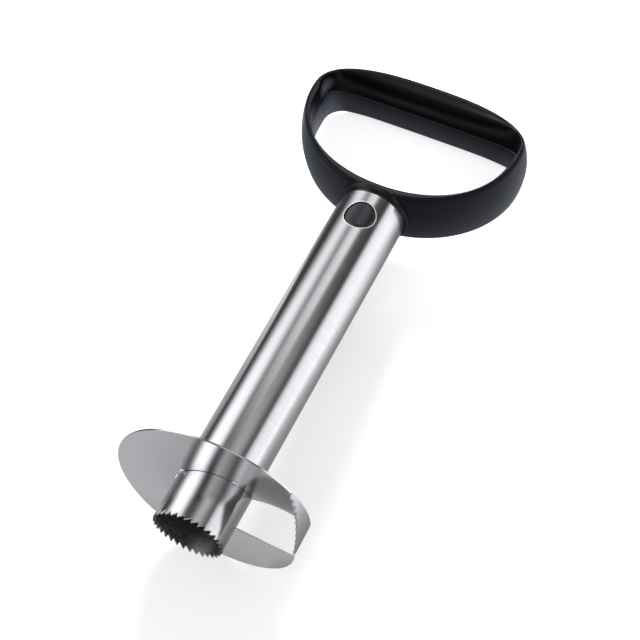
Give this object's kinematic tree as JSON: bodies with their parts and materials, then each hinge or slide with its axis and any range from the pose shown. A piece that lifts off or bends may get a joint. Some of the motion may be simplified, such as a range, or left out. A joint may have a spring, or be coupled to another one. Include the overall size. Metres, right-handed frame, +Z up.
{
  "type": "pineapple slicer",
  "caption": "Hand-turned pineapple slicer: a toothed steel coring tube with a spiral blade and a toothed rim cutter at its foot, held in a D-shaped grip by sprung push buttons.",
  "frame": {"origin": "centre of the bounding box at its bottom, on the surface the tool lies on", "axes": "+Z up from the surface; +Y from the blade towards the grip, the tube's axis leaning 6.87 degrees down towards the grip; +X to the side on which the blade's leading edge lies, with the front button facing up"},
  "size_m": [0.11, 0.2524, 0.0846],
  "materials": {
    "tube_steel": "brushed along the tube, bright",
    "blade_steel": "satin, ground bright at the edges",
    "handle_gloss": "glossy black",
    "handle_soft": "soft matte charcoal",
    "button_plastic": "fine matte, dark grey",
    "spring_steel": "bright drawn wire"
  },
  "bodies": {
    "slicer": {"core_tube": "tube_steel", "spiral_blade": "blade_steel", "handle_core": "handle_gloss", "grip_cover": "handle_soft", "front_spring": "spring_steel", "back_spring": "spring_steel"},
    "front_button": {"front_button": "button_plastic"},
    "back_button": {"back_button": "button_plastic"}
  },
  "joints": [
    {"name": "front_button_press", "type": "slide", "parent": "slicer", "child": "front_button", "axis": [0, -0.1196, -0.9928], "range_m": [0, 0.0025], "stiffness_N_per_m": 1200, "springref_m": -0.002, "deforming": ["front_spring"]},
    {"name": "back_button_press", "type": "slide", "parent": "slicer", "child": "back_button", "axis": [0, 0.1196, 0.9928], "range_m": [0, 0.0025], "stiffness_N_per_m": 1200, "springref_m": -0.002, "deforming": ["back_spring"]}
  ]
}
